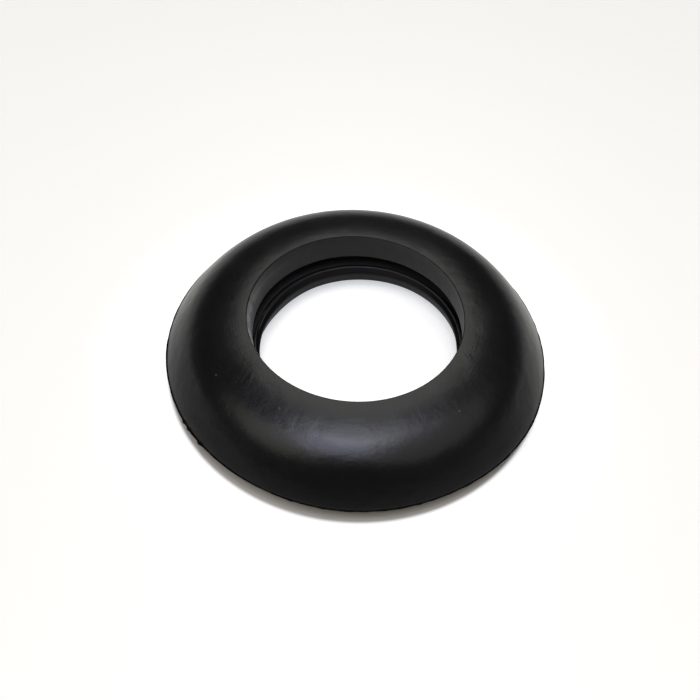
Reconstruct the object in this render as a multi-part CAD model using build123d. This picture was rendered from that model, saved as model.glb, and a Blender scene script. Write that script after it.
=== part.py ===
from build123d import *
import os

# Rubber sleeve for a filler neck, moulded in one piece.
# It is round about Z. The origin is the centre of the face it stands on, and +Z points out
# of the mouth. Every length is in millimetres and every angle in degrees.

# Heights, stacked upwards from the standing face
retaining_flange_height = 2.2   # flange that snaps in behind the body panel
panel_slot_height = 2.2         # slot that takes the edge of the panel
skirt_height = 1.3              # from the seat on the panel up to the moulding line
dome_rise = 14.1                # from the moulding line up to the edge of the mouth

# Heights, stacked downwards from the edge of the mouth
mouth_wall_height = 8.1         # smooth wall below the edge of the mouth
neck_groove_height = 3.8        # groove for the rolled edge of the neck
lip_land_height = 1.6           # straight part of the lip that grips the neck
lip_taper_height = 3.2          # part of the lip that opens downwards

# Radii and widths of the outside
rim_radius = 52.5               # over the flash on the moulding line
flash_width = 0.45              # how far the flash stands out of the rim
flash_thickness = 0.4
skirt_inset = 1.3               # how far the seat lies inside the moulding line
panel_slot_radius = 41.0        # bottom of the slot, the size of the hole in the panel
retaining_flange_width = 4.0    # how far the flange stands out of the slot
flange_draft = 1.2              # how much smaller the flange is at its lower edge

# Radii and widths of the inside
mouth_radius = 29.0             # smooth wall of the mouth
neck_groove_depth = 4.6         # from the wall of the mouth out to the bottom of the groove
lip_reach = 1.9                 # from the wall of the mouth in to the lip
lip_taper_width = 0.9           # how much the lip opens over its taper
foot_opening_radius = 31.5      # where the underside meets the standing face

# Bead on the upper face of the lip
bead_inset = 0.45               # from the wall of the mouth in to the middle of the bead
bead_width = 1.1
bead_height = 0.5

# Arcs of the dome, from the edge of the mouth outwards: radius, and how far each turns down
mouth_edge_round = 0.3
brow_radius = 35.8
brow_turn = 14.5
bend_radius = 16.5
bend_turn = 33.5

# Broken edges
wall_edge_bevel = 0.65          # lower edge of the mouth's wall
groove_corner_bevel = 1.2
lip_edge_bevel = 0.8            # upper edge of the lip, where the neck is led in
flange_edge_bevel = 0.5

# Sizes worked out from the ones above
seat_height = retaining_flange_height + panel_slot_height
rim_height = seat_height + skirt_height
mouth_height = rim_height + dome_rise
groove_top_height = mouth_height - mouth_wall_height
lip_height = groove_top_height - neck_groove_height
lip_land_end = lip_height - lip_land_height
lip_taper_end = lip_land_end - lip_taper_height

moulding_line_radius = rim_radius - flash_width
seat_radius = moulding_line_radius - skirt_inset
flange_radius = panel_slot_radius + retaining_flange_width
groove_radius = mouth_radius + neck_groove_depth
lip_radius = mouth_radius - lip_reach
lip_taper_radius = lip_radius + lip_taper_width
bead_radius = mouth_radius - bead_inset

core_overrun = 1.0              # how far the core pin runs past both faces
corner_tolerance = 0.001        # how near a point lies to a corner to be that corner


# Every section is drawn flat as (radius, height) and turned about Z only once, at the end.

def dome_curve():
    """Edge of the mouth, brow, bend and flank, from the mouth's wall out to the moulding line."""
    wall_end = (mouth_radius, mouth_height - mouth_edge_round)
    edge = JernArc(wall_end, (0, 1), mouth_edge_round, -90)
    brow = JernArc(edge @ 1, (1, 0), brow_radius, -brow_turn)
    bend = JernArc(brow @ 1, brow % 1, bend_radius, -bend_turn)
    flank = TangentArc(bend @ 1, (moulding_line_radius, rim_height), tangent=bend % 1)
    return edge + brow + bend + flank


def outside_section():
    """Section of the whole outside, still closed in the middle."""
    underside = Polyline(
        (moulding_line_radius, rim_height),
        (seat_radius, seat_height),
        (panel_slot_radius, seat_height),
        (panel_slot_radius, retaining_flange_height),
        (flange_radius, retaining_flange_height),
        (flange_radius - flange_draft, 0),
        (0, 0),
        (0, mouth_height - mouth_edge_round),
        (mouth_radius, mouth_height - mouth_edge_round),
    )
    return make_face(dome_curve() + underside)


def core_section():
    """Section of the space inside: mouth, neck groove, lip opening and flared foot."""
    return make_face(
        Polyline(
            (0, mouth_height + core_overrun),
            (mouth_radius, mouth_height + core_overrun),
            (mouth_radius, groove_top_height),
            (groove_radius, groove_top_height),
            (groove_radius, lip_height),
            (lip_radius, lip_height),
            (lip_radius, lip_land_end),
            (lip_taper_radius, lip_taper_end),
            (foot_opening_radius, 0),
            (foot_opening_radius, -core_overrun),
            (0, -core_overrun),
            close=True,
        )
    )


def bead_section():
    """Section of the low bead that runs round the upper face of the lip."""
    half_width = bead_width / 2
    return make_face(
        Polyline(
            (bead_radius - half_width, lip_height),
            (bead_radius - half_width / 2, lip_height + bead_height),
            (bead_radius + half_width / 2, lip_height + bead_height),
            (bead_radius + half_width, lip_height),
            close=True,
        )
    )


def flash_section():
    """Section of the thin fin left where the two halves of the mould meet."""
    root = moulding_line_radius - flash_width
    middle = (root + rim_radius) / 2
    return Pos(middle, rim_height) * Rectangle(rim_radius - root, flash_thickness)


def corner(section, radius, height):
    """The corner of a section at this radius and height."""
    return [
        point
        for point in section.vertices()
        if abs(point.X - radius) < corner_tolerance
        and abs(point.Y - height) < corner_tolerance
    ]


def sleeve_section():
    """Section of the finished rubber, with its inner corners and edges bevelled."""
    section = outside_section() - core_section()
    section = chamfer(corner(section, mouth_radius, groove_top_height), wall_edge_bevel)
    section = chamfer(corner(section, groove_radius, groove_top_height), groove_corner_bevel)
    section = chamfer(corner(section, groove_radius, lip_height), groove_corner_bevel)
    section = chamfer(corner(section, lip_radius, lip_height), lip_edge_bevel)
    section = chamfer(corner(section, flange_radius, retaining_flange_height), flange_edge_bevel)
    return section + bead_section() + flash_section()


sleeve = revolve(Plane.XZ * sleeve_section(), axis=Axis.Z)
sleeve.label = "filler_neck_sleeve"

os.makedirs("parts", exist_ok=True)
export_step(sleeve, "parts/filler_neck_sleeve.step")

size = sleeve.bounding_box().size
print("volume cm3", round(sleeve.volume / 1000, 2), "solids", len(sleeve.solids()))
print("size mm", round(size.X, 2), round(size.Y, 2), round(size.Z, 2))
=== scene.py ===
# %% [markdown]
# # A rubber filler neck sleeve
#
# The sleeve is one soft black moulding. Its dome covers the hole in a car body where the
# filler neck comes out, a lip inside grips the neck, and a slot under the rim takes the edge
# of the panel. It is turned about one axis, so nearly all of it can be made from a single
# section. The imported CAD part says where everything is, in metres, and this script dresses it.

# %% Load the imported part
import math

import bpy
import numpy as np
from mathutils import Matrix, Vector
from mathutils.bvhtree import BVHTree


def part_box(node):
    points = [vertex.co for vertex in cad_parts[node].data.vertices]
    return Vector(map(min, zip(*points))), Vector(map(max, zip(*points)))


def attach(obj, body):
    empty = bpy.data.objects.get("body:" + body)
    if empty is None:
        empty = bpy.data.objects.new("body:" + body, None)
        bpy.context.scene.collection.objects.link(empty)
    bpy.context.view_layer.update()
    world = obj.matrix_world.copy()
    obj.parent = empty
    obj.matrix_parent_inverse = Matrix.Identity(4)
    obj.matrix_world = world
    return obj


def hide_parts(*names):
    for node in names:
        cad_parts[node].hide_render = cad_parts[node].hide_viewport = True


MM = 0.001

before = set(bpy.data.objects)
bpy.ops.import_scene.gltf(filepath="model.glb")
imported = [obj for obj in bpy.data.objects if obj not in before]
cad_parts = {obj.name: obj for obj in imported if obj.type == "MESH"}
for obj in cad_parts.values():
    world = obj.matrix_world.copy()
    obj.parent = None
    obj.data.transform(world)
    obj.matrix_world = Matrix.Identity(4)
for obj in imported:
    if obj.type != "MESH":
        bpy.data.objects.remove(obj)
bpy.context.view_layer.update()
cad_low, cad_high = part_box("filler_neck_sleeve")
rim_radius = cad_high.x / MM
mouth_height = cad_high.z / MM
print("rim radius", round(rim_radius, 2), "mm, height", round(mouth_height, 2), "mm")

# %% [markdown]
# ## The dome, as arcs that run into each other
#
# A turned form is easiest to control as a flat outline of radius and height that is then
# carried round the axis. Four arcs make the dome: the rounded edge of the mouth, a brow that
# is almost flat, a tighter bend, and a long flank down to the moulding line. Each arc starts
# in the direction in which the last one ended, so light runs over the dome without a break.
# The end of the flank is known and its radius isn't, so that radius is worked out.

# %% Arcs of the dome, in millimetres and degrees
flash_width = 0.45
flash_half_height = 0.12
moulding_line_radius = rim_radius - flash_width
moulding_line_height = 5.7
mouth_radius = 29.0
mouth_edge = 0.3
brow_radius, brow_slope = 35.8, 14.5
bend_radius, bend_slope = 16.5, 48.0


def falling_arc(start, radius, slope, next_slope, steps):
    """An arc that leaves start falling by one slope and ends falling by another."""
    turns = np.radians(np.linspace(slope, next_slope, steps + 1)[1:])
    first = math.radians(slope)
    across = start[0] + radius * (np.sin(turns) - math.sin(first))
    down = start[1] - radius * (math.cos(first) - np.cos(turns))
    return list(zip(across, down))


def arc_to(start, slope, end, steps):
    """An arc that leaves start falling by slope and passes through end."""
    across, down = end[0] - start[0], start[1] - end[1]
    next_slope = 2 * math.degrees(math.atan2(down, across)) - slope
    half_turn = math.radians(next_slope - slope) / 2
    radius = math.hypot(across, down) / 2 / math.sin(half_turn)
    return falling_arc(start, radius, slope, next_slope, steps), radius


mouth_start = (mouth_radius, mouth_height - mouth_edge)
mouth_round = falling_arc(mouth_start, mouth_edge, -90, 0, steps=6)
brow = falling_arc(mouth_round[-1], brow_radius, 0, brow_slope, steps=10)
bend = falling_arc(brow[-1], bend_radius, brow_slope, bend_slope, steps=14)
flank_end = (moulding_line_radius, moulding_line_height + flash_half_height)
flank, flank_radius = arc_to(bend[-1], bend_slope, flank_end, steps=16)
dome = [mouth_start] + mouth_round + brow + bend + flank
print("dome of", len(dome), "points, flank radius", round(flank_radius, 2), "mm")

# %% [markdown]
# ## Corners that are soft
#
# No moulded rubber has a sharp edge. The rest of the outline is a chain of corners, each with
# the radius that it is rounded by. A small helper replaces every corner by a short arc. The
# chain runs down the skirt, round the slot and the flange, up the opening to the lip with its
# bead, and round the groove to the foot of the mouth's wall.

# %% Corners below and inside the dome: radius, height, rounding
seat_height, seat_inset = 4.4, 1.75
slot_radius = 41.0
flange_radius, flange_height, flange_draft = 45.0, 2.2, 1.2
opening_radius = 31.5
waist_radius, waist_height = 28.0, 3.1
lip_radius, lip_foot_height, lip_bevel = 27.1, 6.3, 0.8
shelf_height, shelf_gap = 7.9, 0.05
bead_radius, bead_height = 28.55, 0.55
bead_inner, bead_outer, bead_foot = bead_radius - 0.5, bead_radius + 0.4, bead_radius + 0.7
bead_top = shelf_height + bead_height
groove_radius, groove_height = 33.6, 11.7
wall_foot_radius, wall_foot_drop = 28.4, 0.4

underside = [
    (moulding_line_radius, moulding_line_height - flash_half_height, 0.05),
    (rim_radius - seat_inset, seat_height, 0.35),
    (slot_radius, seat_height, 0.3),
    (slot_radius, flange_height, 0.3),
    (flange_radius, flange_height, 0.5),
    (flange_radius - flange_draft, 0.0, 0.35),
    (opening_radius, 0.0, 0.4),
    (waist_radius, waist_height, 0.6),
    (lip_radius, lip_foot_height, 0.4),
    (lip_radius, shelf_height - lip_bevel, 0.3),
    (lip_radius + lip_bevel + shelf_gap, shelf_height, 0.1),
    (bead_inner, bead_top, 0.25),
    (bead_outer, bead_top, 0.25),
    (bead_foot, shelf_height, 0.12),
    (groove_radius, shelf_height, 1.2),
    (groove_radius, groove_height, 1.2),
    (wall_foot_radius, groove_height - wall_foot_drop, 1.3),
]


def rounded(before, corner, after, radius, steps=4):
    """The corner between two neighbours, replaced by an arc of this radius."""
    to_before = np.subtract(before, corner)
    to_after = np.subtract(after, corner)
    to_before = to_before / np.linalg.norm(to_before)
    to_after = to_after / np.linalg.norm(to_after)
    half = math.acos(np.clip(to_before @ to_after, -1, 1)) / 2
    back = radius / math.tan(half)
    first = corner + to_before * back
    last = corner + to_after * back
    between = to_before + to_after
    middle = corner + between / np.linalg.norm(between) * radius / math.sin(half)
    turns = np.linspace(0, 1, steps + 1)
    spokes = [(1 - t) * (first - middle) + t * (last - middle) for t in turns]
    return [tuple(middle + s / np.linalg.norm(s) * radius) for s in spokes]


chain = [dome[-1]] + [corner[:2] for corner in underside] + [dome[0]]
section = list(dome)
for index, (radius, height, rounding) in enumerate(underside):
    corner = np.array((radius, height))
    section += rounded(chain[index], corner, chain[index + 2], rounding)
wall_foot = np.array(section[-1])
section += [tuple(wall_foot + (dome[0] - wall_foot) * third / 3) for third in (1, 2)]
section = np.array(section)
print("section of", len(section), "points")

# %% [markdown]
# ## Support points
#
# A long straight between two small arcs shades badly, because the smooth normals of the arcs
# bleed across it. A pair of extra points close to each arc keeps the straight flat.

# %% Add support points on the long straights
longest_bare = 0.9
support = 0.12


def supported(points):
    """The closed outline with two extra points on every long straight."""
    out = []
    for here, there in zip(points, np.roll(points, -1, axis=0)):
        out.append(here)
        span = np.linalg.norm(there - here)
        if span > longest_bare:
            step = (there - here) * support / span
            out += [here + step, there - step]
    return np.array(out)


section = supported(section)
lengths = np.linalg.norm(np.roll(section, -1, axis=0) - section, axis=1)
print("section of", len(section), "points,", round(lengths.sum(), 1), "mm round")

# %% [markdown]
# ## A soft part is never quite true
#
# Rubber leaves the mould hot and relaxes on the shelf. The lip of this one hangs a little to
# one side of its rim, the lip and the rim are a little out of round, and the wall of the mouth
# has shallow waves. All of it is far too small to matter on the car, where the neck and the
# panel pull the rubber true, so the CAD part leaves it out, and the mesh has it.
#
# Offsets at a few bearings are joined by a smooth curve for the slow changes. A sum of waves
# with a fixed seed does the quick ones, so that they come out the same each time. Each point
# of the section is told by its radius and height, with a little slack, and that says whether
# it belongs to the dome, the lip or the wall.

# %% How far each height leans, and how the lip and the rim are out of round
STEPS_ROUND = 540
SLACK = 0.01
WIDE_SLACK = 0.2

lean_heights = [0.0, 3.1, 6.3, 7.9, 8.4, 11.6, 12.5, 18.6, 19.6, 20.0]
lean_inside = [0.0, 1.4, 1.3, 1.2, 1.1, 0.25, 0.15, -0.3, -0.6, -0.6]
dome_lean_end = 40.0
rim_falloff, seat_share = 1.5, 0.5
lip_heights, lip_shares = [0.0, 3.0, bead_top], [0.0, 1.0, 0.6]
offset_bearings = np.arange(-180, 181, 30)
lip_offsets = np.array(
    [0.8, 1.5, 0.4, 0.0, 0.0, -0.2, -0.7, -0.15, 0.05, -0.25, -0.42, -0.45, 0.8]
)
rim_offsets = np.array(
    [-0.1, -0.22, -0.45, -0.05, -0.12, 0.5, -0.15, -0.59, -0.37, -0.17, -0.25, -0.25, -0.1]
)


def smooth_round(values, at):
    """Smooth periodic curve through the values at the offset bearings, in degrees."""
    step = offset_bearings[1] - offset_bearings[0]
    place = (at - offset_bearings[0]) / step
    low = np.floor(place).astype(int)
    t = place - low
    count = len(values) - 1
    p0, p1, p2, p3 = (values[(low + k) % count] for k in (-1, 0, 1, 2))
    cubic = 3 * (p1 - p2) + p3 - p0
    return p1 + 0.5 * t * (p2 - p0 + t * (2 * p0 - 5 * p1 + 4 * p2 - p3 + t * cubic))


def wavy(bearings, count, fewest, most, strongest, random):
    """A sum of waves that close on themselves, each with between fewest and most crests."""
    waves = random.integers(fewest, most, count)
    sizes = random.uniform(0.2, 1.0, count) * strongest / np.sqrt(waves)
    starts = random.uniform(0, 2 * math.pi, count)
    parts = zip(waves, sizes, starts)
    return sum(size * np.sin(np.radians(bearings) * wave + start) for wave, size, start in parts)


bearings = np.linspace(-180, 180, STEPS_ROUND, endpoint=False)
radii, heights = section[:, 0], section[:, 1]
by_the_mouth = radii < mouth_radius + WIDE_SLACK

is_above = heights > moulding_line_height
dome_share = np.clip((dome_lean_end - radii) / (dome_lean_end - mouth_radius), 0, 1)
lean_share = np.where(is_above, dome_share, radii < groove_radius)
lean = lean_share * np.interp(heights, lean_heights, lean_inside)

out_on_dome = np.clip((radii - dome_lean_end) / (rim_radius - dome_lean_end), 0, 1)
rim_share = out_on_dome**rim_falloff
rim_share = np.where(heights < seat_height + WIDE_SLACK, rim_share * seat_share, rim_share)
rim_swell = smooth_round(rim_offsets, bearings)[:, None]

is_lip = by_the_mouth & (heights < bead_top)
lip_share = np.where(is_lip, np.interp(heights, lip_heights, lip_shares), 0)
lip_swell = smooth_round(lip_offsets, bearings)[:, None]

is_wall = (radii < mouth_radius + SLACK) & (heights > groove_height)
down_wall = (mouth_height - heights) / (mouth_height - groove_height)
wall_share = np.where(is_wall, np.sin(math.pi * np.clip(down_wall, 0, 1)), 0)
wall_random = np.random.default_rng(11)
wall_swell = wavy(bearings, count=16, fewest=20, most=60, strongest=0.12, random=wall_random)
wall_swell = wall_swell[:, None]

grown = radii + rim_share * rim_swell + lip_share * lip_swell + wall_share * wall_swell
turn = np.radians(bearings)[:, None]
x = grown * np.cos(turn) + lean
y = grown * np.sin(turn)
z = np.broadcast_to(heights, x.shape)
vertices = np.stack([x, y, z], axis=-1).reshape(-1, 3) * MM
print("lean from", lean.min(), "to", lean.max(), "mm")
print("rim offset from", rim_offsets.min(), "to", rim_offsets.max(), "mm")
print("lip offset from", lip_offsets.min(), "to", lip_offsets.max(), "mm")

# %% [markdown]
# ## Carry the section round
#
# Every point of the section becomes a ring, and every pair of rings is joined by four-sided
# faces. The same grid gives a map for textures: once round the axis is one side of the map,
# once round the section is the other. Weighted normals let the large faces decide how the
# surface is shaded, so that flat places stay flat next to small arcs.

# %% Build the sleeve's mesh
def ring_mesh(name, points, rows, columns):
    """A closed mesh from a grid of points that wraps round in both directions."""
    index = np.arange(rows * columns).reshape(rows, columns)
    right = np.roll(index, -1, axis=0)
    corners = [index, np.roll(index, -1, axis=1), np.roll(right, -1, axis=1), right]
    faces = np.stack(corners, axis=-1)
    mesh = bpy.data.meshes.new(name)
    mesh.from_pydata(points.tolist(), [], faces.reshape(-1, 4).tolist())
    mesh.shade_smooth()
    piece = bpy.data.objects.new(name, mesh)
    bpy.context.scene.collection.objects.link(piece)
    return piece


def add_map(piece, rows, columns, across):
    """A texture map laid out like the grid, as wide as its ring is long."""
    along_round = np.arange(rows + 1) / rows
    along_section = np.concatenate([[0], np.cumsum(across)]) / across.sum()
    row, column = np.divmod(np.arange(rows * columns), columns)
    corners = [(0, 0), (0, 1), (1, 1), (1, 0)]
    uv = [(along_round[row + i], along_section[column + j]) for i, j in corners]
    uv = np.stack([np.stack(corner, -1) for corner in uv], 1)
    layer = piece.data.uv_layers.new(name="OFBake")
    layer.data.foreach_set("uv", uv.ravel().astype(np.float32))


sleeve = ring_mesh("sleeve_skin", vertices, STEPS_ROUND, len(section))
add_map(sleeve, STEPS_ROUND, len(section), lengths)
weighted = sleeve.modifiers.new("flat_stays_flat", "WEIGHTED_NORMAL")
weighted.keep_sharp = False
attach(sleeve, "root")
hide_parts("filler_neck_sleeve")
print("triangles in the skin", 2 * len(sleeve.data.polygons))

# %% [markdown]
# ## Tell the finish where it is
#
# The grid also carries three values for the finish. The first is painted light: it makes the
# groove a paler grey, most of all up under the dome, where little light reaches, and stands in
# for the light that bounces into it. The wall, the groove and the lip are dull, because they
# come off the core of the mould, which is left rough so that the part lets go of it. One side
# of the wall has been rubbed by handling. The lower flank keeps a thin greasy film from the
# release agent, and it mirrors less light than the clean dome above it.

# %% Painted groove light, dullness and gloss on the mesh
def add_value(piece, name, values):
    """A named value at every vertex of the grid."""
    layer = piece.data.attributes.new(name, "FLOAT", "POINT")
    grid = np.broadcast_to(values, (STEPS_ROUND, len(section)))
    layer.data.foreach_set("value", grid.ravel().astype(np.float32))


on_wall = by_the_mouth & (heights > groove_height - SLACK)
above_shelf = heights > shelf_height + shelf_gap
below_shelf = heights < shelf_height + shelf_gap
on_bead = by_the_mouth & above_shelf & (heights < bead_top + SLACK)
on_bevel = by_the_mouth & below_shelf & (heights > shelf_height - lip_bevel)
in_groove = ~by_the_mouth & (radii < groove_radius + SLACK)
in_groove &= (heights > moulding_line_height) & (heights < groove_height + SLACK)
out_of_sight = (heights < moulding_line_height) | by_the_mouth

zones = [on_wall, in_groove, on_bead, on_bevel, out_of_sight]
zone_dullness = [0.28, 0.28, 0.05, 0.1, 0.26]
zone_gloss = [0.37, 0.42, 0.42, 0.1, 0.1]
film_heights, film_gloss = [8.5, 16.5], [0.22, 0.5]
groove_light_heights, groove_light_amounts = [shelf_height, 10.8, groove_height], [0.04, 0.2, 1.0]

rubbed_bearing, rubbed_over = -176.0, 38.0
rubbed_foot, rubbed_fade = 14.5, 2.5
from_rubbed = (bearings - rubbed_bearing + 180) % 360 - 180
rubbed_round = np.exp(-((from_rubbed / rubbed_over) ** 2))[:, None]
rubbed = rubbed_round * np.clip((heights - rubbed_foot) / rubbed_fade, 0, 1)

dullness = np.select(zones, zone_dullness, 0.0) * (1 - rubbed)
gloss = np.select(zones, zone_gloss, np.interp(heights, film_heights, film_gloss))
# Painted light: the groove is made paler, most of all up under the dome, where the least light
# reaches.
painted_groove_light = np.where(in_groove, np.interp(heights, groove_light_heights, groove_light_amounts), 0.0)
for name, values in (("painted_groove_light", painted_groove_light), ("dullness", dullness), ("gloss", gloss)):
    add_value(sleeve, name, values)
    print(name, "from", round(float(values.min()), 3), "to", round(float(values.max()), 3))

# %% [markdown]
# ## Flash on the moulding line
#
# Where the two halves of the mould meet, a film of rubber squeezes out and is trimmed by hand.
# What stays is a thin fin with an uneven edge and a few torn nibs. It gets a ring of its own
# with finer steps, so that the nibs are crisp. Each nib has a bearing, a size and a width, and
# the fin's own section is a row of points from its root to its edge and back.

# %% Build the flash
FLASH_STEPS = 1440
usual_reach, least_reach, most_reach = 0.3, 0.12, 0.9
wide_bearing, wide_by, wide_over = -140.0, 0.16, 22.0
nib_sharpness = 2.5
nibs = [
    (-146.7, 0.34, 1.0),
    (-143.9, 0.26, 0.9),
    (-137.9, 0.42, 1.3),
    (-105.5, 0.14, 1.2),
    (-96.4, 0.12, 1.6),
    (-69.9, 0.12, 1.0),
    (38.0, 0.12, 1.4),
    (112.0, 0.15, 1.2),
]
fin = np.array(
    [(-0.3, 0.3), (0.1, 0.17), (0.8, 0.04), (1.0, -0.03), (0.8, -0.1), (0.1, -0.13), (-0.3, -0.16)]
)

flash_bearings = np.linspace(-180, 180, FLASH_STEPS, endpoint=False)
flash_random = np.random.default_rng(7)
reach = wavy(flash_bearings, count=24, fewest=3, most=90, strongest=0.1, random=flash_random)
reach += usual_reach
reach += wide_by * np.exp(-(((flash_bearings - wide_bearing) / wide_over) ** 2))
for bearing, size, width in nibs:
    from_nib = (flash_bearings - bearing) / width
    reach += size * np.exp(-(from_nib**2) * nib_sharpness)
reach = np.clip(reach, least_reach, most_reach)

root = moulding_line_radius + smooth_round(rim_offsets, flash_bearings)
flash_turn = np.radians(flash_bearings)
widest = np.maximum(abs(np.cos(flash_turn)), abs(np.sin(flash_turn)))
ends = np.minimum(root + reach, (rim_radius - SLACK) / widest)
out = np.where(fin[:, 0] > 0, fin[:, 0] * (ends - root)[:, None], fin[:, 0])
fin_radii = root[:, None] + out
fin_turn = flash_turn[:, None]
fin_heights = np.broadcast_to(moulding_line_height + fin[:, 1], fin_radii.shape)
fin_points = [fin_radii * np.cos(fin_turn), fin_radii * np.sin(fin_turn), fin_heights]
fin_points = np.stack(fin_points, axis=-1)[:, ::-1].reshape(-1, 3) * MM
flash = ring_mesh("moulding_flash", fin_points, FLASH_STEPS, len(fin))
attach(flash, "root")
stands_out = ends - root
print("flash stands out by", round(stands_out.min(), 2), "to", round(stands_out.max(), 2), "mm")

# %% [markdown]
# ## Check the mesh against the CAD part
#
# The dressed sleeve may only leave the CAD solid by what the soft rubber leans and is out of
# round. A search tree gives the distance to the CAD surface for one vertex in every 37. That
# number shares no factor with the points of a ring's section or with the steps round, so every
# part of the section and every side get their turn.

# %% Measure the distance to the CAD solid
CHECK_EVERY = 37
cad_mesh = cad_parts["filler_neck_sleeve"].data
cad_points = [vertex.co for vertex in cad_mesh.vertices]
cad_surface = BVHTree.FromPolygons(cad_points, [face.vertices for face in cad_mesh.polygons])
gaps = [cad_surface.find_nearest(Vector(point))[3] for point in vertices[::CHECK_EVERY]]
print("distance to the CAD solid, in mm")
print("mean", round(np.mean(gaps) / MM, 3), "most", round(max(gaps) / MM, 3))

# %% [markdown]
# ## Helpers for materials
#
# A material is a graph of nodes, and the same few patterns come back in every one: noise of a
# known size, a range moved to another, a bump laid over a bump, a blend of two colours. Each
# gets a helper that adds the node, links it and hands back its output, so that the recipe of a
# material can be read like a sum.

# %% Add nodes and link them
def link(tree, source, target):
    """Feed one node's output into another node's input."""
    tree.links.new(source, target)


def noise(tree, coordinates, size, detail, roughness=0.5):
    """Noise whose features are about this size in metres."""
    node = tree.nodes.new("ShaderNodeTexNoise")
    node.inputs["Scale"].default_value = 1 / size
    node.inputs["Detail"].default_value = detail
    node.inputs["Roughness"].default_value = roughness
    link(tree, coordinates, node.inputs["Vector"])
    return node.outputs["Fac"]


def spread(tree, value, low, high, to_low, to_high):
    """The value, moved from one range to another and kept inside it."""
    node = tree.nodes.new("ShaderNodeMapRange")
    ends = {"From Min": low, "From Max": high, "To Min": to_low, "To Max": to_high}
    for name, number in ends.items():
        node.inputs[name].default_value = number
    link(tree, value, node.inputs["Value"])
    return node.outputs["Result"]


def bump(tree, height, distance, under=None):
    """A bump of this height in metres, laid over another."""
    node = tree.nodes.new("ShaderNodeBump")
    node.inputs["Distance"].default_value = distance
    node.inputs["Strength"].default_value = 1.0
    link(tree, height, node.inputs["Height"])
    if under is not None:
        link(tree, under, node.inputs["Normal"])
    return node.outputs["Normal"]


def mixed(tree, share, first, second):
    """A blend of two colours, each a colour or a socket."""
    node = tree.nodes.new("ShaderNodeMix")
    node.data_type = "RGBA"
    link(tree, share, node.inputs["Factor"])
    for socket, colour in zip((node.inputs[6], node.inputs[7]), (first, second)):
        if isinstance(colour, tuple):
            socket.default_value = (*colour, 1.0)
        else:
            link(tree, colour, socket)
    return node.outputs[2]


def combined(tree, operation, first, second):
    """Two values put together by a math node."""
    node = tree.nodes.new("ShaderNodeMath")
    node.operation = operation
    link(tree, first, node.inputs[0])
    link(tree, second, node.inputs[1])
    return node.outputs[0]


def product_of(tree, first, second):
    """Two values, multiplied."""
    return combined(tree, "MULTIPLY", first, second)


def sum_of(tree, first, *others):
    """Values, added up."""
    for other in others:
        first = combined(tree, "ADD", first, other)
    return first


def value_of(tree, name):
    """A value that the mesh has at its vertices."""
    node = tree.nodes.new("ShaderNodeAttribute")
    node.attribute_name = name
    return node.outputs["Fac"]


def distance(tree, coordinates, place):
    """How far the coordinates are from this place, in metres."""
    node = tree.nodes.new("ShaderNodeVectorMath")
    node.operation = "DISTANCE"
    node.inputs[1].default_value = place
    link(tree, coordinates, node.inputs[0])
    return node.outputs["Value"]


def near(tree, coordinates, place, reach):
    """One around this place, falling evenly to nothing at the reach, in metres."""
    core = reach * 0.3
    return spread(tree, distance(tree, coordinates, place), core, reach, 1.0, 0.0)


def shader_node(tree, kind, settings):
    """A node of this kind with these values on its inputs."""
    node = tree.nodes.new(kind)
    for name, value in settings.items():
        node.inputs[name].default_value = value
    return node


# %% [markdown]
# ## Black rubber: colour
#
# Moulded rubber filled with carbon black is nearly black, but it isn't even. A bloom of wax
# greys it in soft patches and handling adds small specks. The groove gets painted light, a paler
# grey where little light reaches. One material has all of these, at the sizes that they have on
# the part, from noise in the part's own coordinates. A few pale flecks sit at places of their
# own, as dust that fell on the dome.

# %% Colour of the rubber
black_rubber, bloomed_rubber = (0.0042, 0.0042, 0.0043), (0.0062, 0.0061, 0.0060)
painted_groove_light_colour = (0.3, 0.3, 0.295)
speck_colour = (0.06, 0.058, 0.055)
flecks = [(-148.5, 41.4, 0.0004), (-119.5, 36.7, 0.00035), (-47.5, 39.5, 0.00035)]


def on_dome(bearing, radius):
    """The place on the dome at this bearing and radius, in metres."""
    height = np.interp(radius, [point[0] for point in dome], [point[1] for point in dome])
    turned = math.radians(bearing)
    return (radius * math.cos(turned) * MM, radius * math.sin(turned) * MM, height * MM)


rubber = bpy.data.materials.new("black_rubber")
rubber.use_nodes = True
tree = rubber.node_tree
shader = tree.nodes["Principled BSDF"]
where = tree.nodes.new("ShaderNodeTexCoord").outputs["Object"]

bloom = spread(tree, noise(tree, where, 0.022, detail=2), 0.15, 0.85, 0.0, 1.0)
body_colour = mixed(tree, bloom, black_rubber, bloomed_rubber)
# Painted light: the groove is mixed towards a pale grey by the value on the mesh.
body_and_groove_light_colour = mixed(tree, value_of(tree, "painted_groove_light"), body_colour, painted_groove_light_colour)
specks = spread(tree, noise(tree, where, 0.0013, detail=1), 0.82, 0.86, 0.0, 1.0)
for bearing, radius, reach in flecks:
    specks = sum_of(tree, specks, near(tree, where, on_dome(bearing, radius), reach))
link(tree, mixed(tree, specks, body_and_groove_light_colour, speck_colour), shader.inputs["Base Color"])
print("colour made of", len(tree.nodes), "nodes, with", len(flecks), "flecks")

# %% [markdown]
# ## Black rubber: gloss
#
# The gloss is broad, because the grain of the mould scatters it. The bloom and some smaller
# patches make the roughness vary, and the values on the mesh add the dull places and the
# greasy film. The patches are large and soft: fine ones would break up the long highlight.

# %% Roughness and gloss of the rubber
patches = spread(tree, noise(tree, where, 0.007, detail=1), 0.1, 0.9, -0.02, 0.02)
bloom_roughness = spread(tree, bloom, 0, 1, 0.265, 0.315)
roughness = sum_of(tree, bloom_roughness, patches, value_of(tree, "dullness"))
link(tree, roughness, shader.inputs["Roughness"])
link(tree, value_of(tree, "gloss"), shader.inputs["Specular IOR Level"])
shader.inputs["IOR"].default_value = 1.45
print("colour and gloss made of", len(tree.nodes), "nodes")

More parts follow.
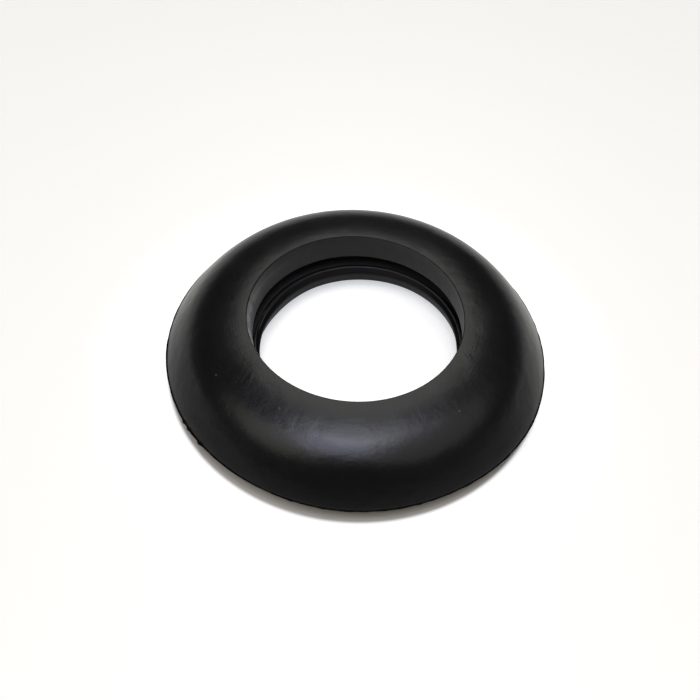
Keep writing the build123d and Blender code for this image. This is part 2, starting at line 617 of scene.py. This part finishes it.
# %% [markdown]
# ## Black rubber: grain and scuffs
#
# Three bumps lie over each other: a ripple from the way that the rubber flowed, a mottle, and
# the fine grain that the mould leaves. Three small scuffs have short strokes in one direction.
# A mapping that stretches the noise along that direction draws them, and a mask keeps each one
# near its place on the dome.

# %% Bumps of the rubber
scuffs = [(-139.0, 36.0, 0.0042, 66.0), (-23.0, 31.5, 0.002, -60.0), (116.0, 31.6, 0.002, 20.0)]
scuff_depth, stroke_width, stroke_stretch = 0.00003, 0.0016, (3.5, 1.0, 1.0)

ripple = bump(tree, noise(tree, where, 0.012, detail=2), 0.00025)
mottle = bump(tree, noise(tree, where, 0.0032, detail=3, roughness=0.55), 0.00006, ripple)
surface = bump(tree, noise(tree, where, 0.0011, detail=4, roughness=0.6), 0.00003, mottle)
for bearing, radius, reach, along in scuffs:
    strokes = tree.nodes.new("ShaderNodeMapping")
    strokes.vector_type = "TEXTURE"
    strokes.inputs["Rotation"].default_value = (0, 0, math.radians(along))
    strokes.inputs["Scale"].default_value = stroke_stretch
    link(tree, where, strokes.inputs["Vector"])
    lines = noise(tree, strokes.outputs["Vector"], stroke_width, detail=1)
    lines = spread(tree, lines, 0.35, 0.65, 0.0, 1.0)
    mask = near(tree, where, on_dome(bearing, radius), reach)
    surface = bump(tree, product_of(tree, lines, mask), scuff_depth, surface)
link(tree, surface, shader.inputs["Normal"])

for piece in (sleeve, flash):
    piece.data.materials.append(rubber)
print("rubber made of", len(tree.nodes), "nodes, with", len(scuffs), "scuffs")

# %% [markdown]
# ## The stage
#
# A pale floor without an edge shows the shape of a black part best. It is a sheet of opal
# acrylic: a warm white body under a clear surface, which mirrors more the flatter it is looked
# at. It also has painted light, a glow of its own, seen only straight on or in a reflection. The
# glow lifts the open floor to white, and the floor in the hole too, where it washes out the
# part's shadow. Under the rim it has none, so the contact shadow stays as dark as it is and ends
# in a painted edge just outside the rim, and the part stands on the floor and doesn't float over
# it. The distance from the axis sets how much the floor glows, and how far out it mirrors.

# %% Floor
floor_half, floor_drop = 4.0, 0.00002
corners = [(floor_half * i, floor_half * j, 0) for i, j in ((-1, -1), (1, -1), (1, 1), (-1, 1))]
floor_mesh = bpy.data.meshes.new("floor")
floor_mesh.from_pydata(corners, [], [(0, 1, 2, 3)])
floor = bpy.data.objects.new("floor", floor_mesh)
floor.location.z = cad_low.z - floor_drop
bpy.context.scene.collection.objects.link(floor)
print("floor at", round(floor.location.z / MM, 3), "mm")

# %% Acrylic of the floor: reaches in metres from the axis, and the levels there
# Painted light: the glow is strong in the hole, none from there out to the rim, and strong again
# just outside the rim.
hole_painted_light = (0.0313, 0.0325, 0.66, 0.0)
rim_shade = (0.0517, 0.0526, 0.0, 1.0)
near_painted_light = (0.054, 0.075, 0.7, 0.43)
far_glow = (0.2, 1.5, 0.0, 0.25)
polish = (0.25, 0.7, 1.0, 0.0)

acrylic = bpy.data.materials.new("white_acrylic")
acrylic.use_nodes = True
tree = acrylic.node_tree
tree.nodes.clear()
where = tree.nodes.new("ShaderNodeTexCoord").outputs["Object"]
out_from_axis = distance(tree, where, (0, 0, 0))
rays = tree.nodes.new("ShaderNodeLightPath").outputs
seen = sum_of(tree, rays["Is Camera Ray"], rays["Is Glossy Ray"], rays["Is Transmission Ray"])
# Painted light: the glow in the hole washes out the part's shadow, and the glow outside the rim
# gives its shadow a hard edge.
painted_light_in_hole = spread(tree, out_from_axis, *hole_painted_light)
outside = spread(tree, out_from_axis, *rim_shade)
around = product_of(tree, outside, spread(tree, out_from_axis, *near_painted_light))
painted_glow_level = sum_of(tree, painted_light_in_hole, around, spread(tree, out_from_axis, *far_glow))

diffuse = shader_node(tree, "ShaderNodeBsdfDiffuse", {"Color": (0.78, 0.74, 0.62, 1)})
glow = shader_node(tree, "ShaderNodeEmission", {"Color": (0.92, 0.95, 1.0, 1)})
mirror = shader_node(tree, "ShaderNodeBsdfGlossy", {"Roughness": 0.3})
flatness = shader_node(tree, "ShaderNodeFresnel", {"IOR": 1.8})
polished = spread(tree, out_from_axis, *polish)
body = tree.nodes.new("ShaderNodeAddShader")
sheet = tree.nodes.new("ShaderNodeMixShader")
output = tree.nodes.new("ShaderNodeOutputMaterial")
link(tree, product_of(tree, seen, painted_glow_level), glow.inputs["Strength"])
link(tree, diffuse.outputs[0], body.inputs[0])
link(tree, glow.outputs[0], body.inputs[1])
link(tree, product_of(tree, flatness.outputs[0], polished), sheet.inputs[0])
link(tree, body.outputs[0], sheet.inputs[1])
link(tree, mirror.outputs[0], sheet.inputs[2])
link(tree, sheet.outputs[0], output.inputs["Surface"])
floor_mesh.materials.append(acrylic)
print("acrylic made of", len(tree.nodes), "nodes")

# %% [markdown]
# ## Light
#
# A black part is seen by what it reflects, so its light is a set of soft round lamps, each as
# wide as it looks from the part. Two hang nearly overhead and draw the long highlight along
# the near side of the dome. One stands low at the left, one behind, and a wide weak one at the
# right. A lamp's power follows from how bright its face should look: a round face that sends
# light out evenly gives its brightness times pi times its area.

# %% Soft lamps: bearing, elevation and half angle in degrees, brightness, colour
LAMP_DISTANCE = 1.5
lamp_aim = Vector((0, 0, moulding_line_height * MM))


def soft_lamp(name, bearing, elevation, half_angle, brightness, colour):
    """A round lamp that faces the part. Its brightness is that of its face, where 1 is white."""
    bearing, elevation = math.radians(bearing), math.radians(elevation)
    level = math.cos(elevation)
    away = (level * math.cos(bearing), level * math.sin(bearing), math.sin(elevation))
    away = Vector(away)
    radius = LAMP_DISTANCE * math.tan(math.radians(half_angle))
    data = bpy.data.lights.new(name, "AREA")
    data.shape = "DISK"
    data.size = 2 * radius
    data.energy = brightness * math.pi * math.pi * radius**2
    data.color = colour
    lamp = bpy.data.objects.new(name, data)
    lamp.location = lamp_aim + away * LAMP_DISTANCE
    lamp.rotation_euler = away.to_track_quat("Z", "Y").to_euler()
    bpy.context.scene.collection.objects.link(lamp)
    print(name, "is", round(2 * radius, 3), "m wide and has", round(data.energy, 3), "W")


soft_lamp("top_lamp", -63.5, 87.8, 15.6, 4.25, (0.86, 0.875, 1.0))
soft_lamp("front_lamp", -105.5, 69.2, 16.0, 3.75, (0.745, 0.74, 1.0))
soft_lamp("left_lamp", -141.6, 47.2, 21.4, 1.2, (1.0, 0.99, 0.89))
soft_lamp("back_lamp", 89.3, 56.3, 16.4, 1.85, (1.0, 1.0, 0.95))
soft_lamp("right_lamp", -31.1, 57.5, 30.6, 0.68, (1.0, 0.99, 0.965))

# %% [markdown]
# ## The room
#
# The room round the lamps is dark, and that gives the flanks of the dome their depth. Only a
# narrow band at the horizon is pale, so that a low view still has a pale background. A ramp
# over the height of the direction makes both.

# %% The dark room: height of the direction, grey level
horizon_level, room_level = 0.85, 0.013
room = [(0.0, horizon_level), (0.035, horizon_level), (0.07, room_level), (1.0, room_level)]

world = bpy.data.worlds.new("room")
bpy.context.scene.world = world
world.use_nodes = True
tree = world.node_tree
background = tree.nodes["Background"]
direction = tree.nodes.new("ShaderNodeTexCoord").outputs["Generated"]
height_of = tree.nodes.new("ShaderNodeSeparateXYZ")
ramp = tree.nodes.new("ShaderNodeValToRGB")
link(tree, direction, height_of.inputs[0])
link(tree, height_of.outputs["Z"], ramp.inputs[0])
stops = ramp.color_ramp.elements
while len(stops) < len(room):
    stops.new(0.5)
for stop, (place, level) in zip(stops, room):
    stop.position = place
    stop.color = (level, level, level, 1)
link(tree, ramp.outputs["Color"], background.inputs["Color"])
background.inputs["Strength"].default_value = 1.0
print("room at", room_level, "and horizon at", horizon_level)

# %% [markdown]
# ## Camera
#
# The camera looks down at about fifty degrees through a lens of ordinary length, close enough
# that the far side of the ring is clearly smaller than the near side. It is rolled by a few
# degrees, as a camera in the hand is.

# %% Camera
camera_place = Vector((0.0, -0.17621, 0.22187))
camera_aim = Vector((-0.00162, -0.00139, 0.0057))
camera_roll = math.radians(2.856)

camera_data = bpy.data.cameras.new("camera")
camera_data.sensor_width = 36.0
camera_data.lens = 51.65
camera_data.clip_start = 0.01
camera = bpy.data.objects.new("camera", camera_data)
bpy.context.scene.collection.objects.link(camera)
look = (camera_place - camera_aim).to_track_quat("Z", "Y").to_matrix().to_4x4()
roll = Matrix.Rotation(camera_roll, 4, "Z")
camera.matrix_world = Matrix.Translation(camera_place) @ look @ roll
bpy.context.scene.camera = camera
bpy.context.scene.view_settings.view_transform = "Standard"
print("camera", round((camera_place - camera_aim).length, 4), "m from its aim")
